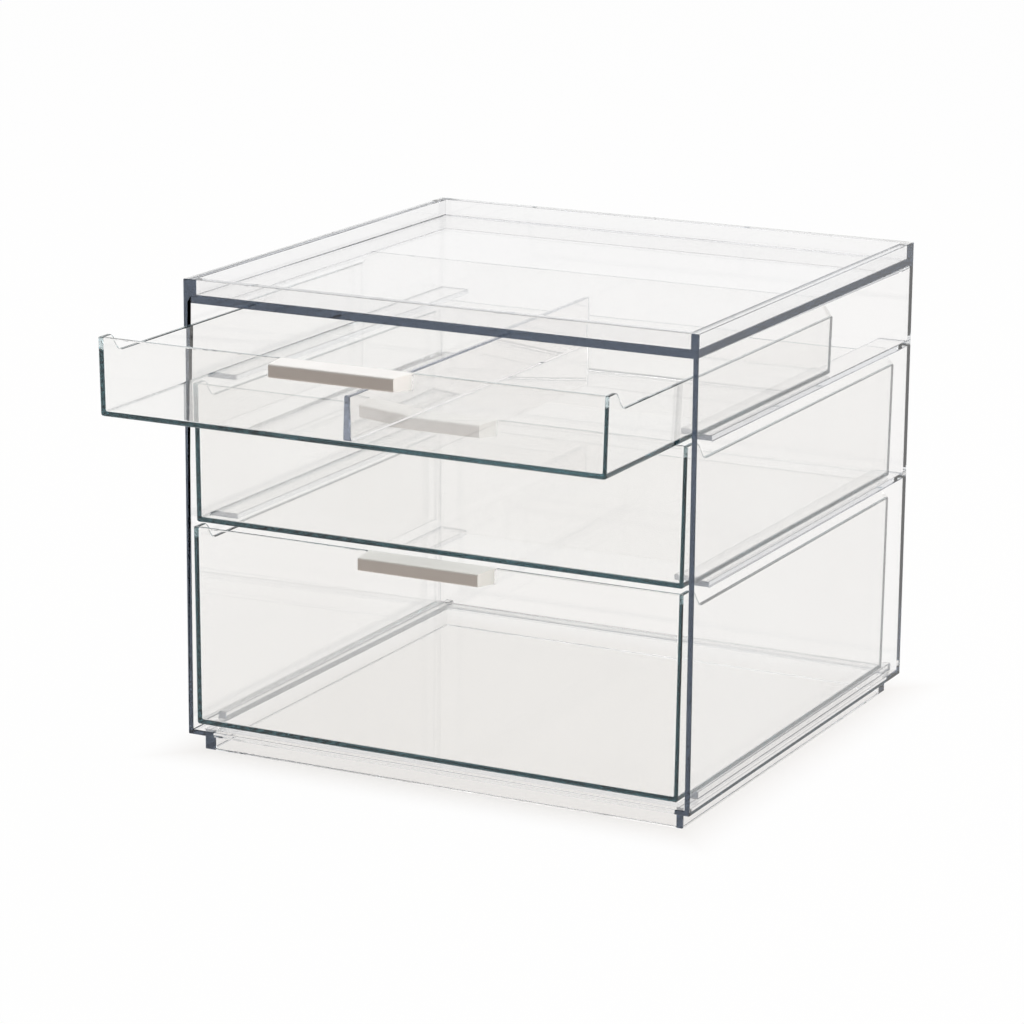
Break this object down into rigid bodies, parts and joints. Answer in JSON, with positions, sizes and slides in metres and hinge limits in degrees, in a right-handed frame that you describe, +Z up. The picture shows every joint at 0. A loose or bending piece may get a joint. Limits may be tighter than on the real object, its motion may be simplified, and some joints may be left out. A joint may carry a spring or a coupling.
{
  "type": "desktop drawer organizer",
  "caption": "Clear acrylic desktop organizer: open-fronted case with a rimmed tray on top, side rails, sliding clear drawers with white bar handles and a divider in the top drawer",
  "frame": {"origin": "centre of the foot ring's underside, on the surface that the organizer stands on, in the middle of the case's width and depth", "axes": "+Z up, -Y out of the open front, the way the drawers pull, +X to the right seen from the front"},
  "size_m": [0.255, 0.3399, 0.2227],
  "materials": {
    "case_clear": "clear polished acrylic",
    "drawer_clear": "clear polished acrylic",
    "handle_white": "opaque white, satin gloss"
  },
  "bodies": {
    "case": {"left_wall": "case_clear", "right_wall": "case_clear", "back_wall": "case_clear", "top_panel": "case_clear", "floor_frame": "case_clear", "top_rim": "case_clear", "foot_ring": "case_clear", "upper_left_rail": "case_clear", "upper_right_rail": "case_clear", "lower_left_rail": "case_clear", "lower_right_rail": "case_clear", "left_floor_runner": "case_clear", "right_floor_runner": "case_clear"},
    "top_drawer": {"top_drawer_tray": "drawer_clear", "top_drawer_divider": "drawer_clear", "top_drawer_handle": "handle_white"},
    "middle_drawer": {"middle_drawer_tray": "drawer_clear", "middle_drawer_handle": "handle_white"},
    "bottom_drawer": {"bottom_drawer_tray": "drawer_clear", "bottom_drawer_handle": "handle_white"}
  },
  "joints": [
    {"name": "top_drawer_slide", "type": "slide", "parent": "case", "child": "top_drawer", "axis": [0, -1, 0], "range_m": [-0.0786, 0.1214]},
    {"name": "middle_drawer_slide", "type": "slide", "parent": "case", "child": "middle_drawer", "axis": [0, -1, 0], "range_m": [0, 0.2]},
    {"name": "bottom_drawer_slide", "type": "slide", "parent": "case", "child": "bottom_drawer", "axis": [0, -1, 0], "range_m": [-0.0015, 0.1985]}
  ]
}
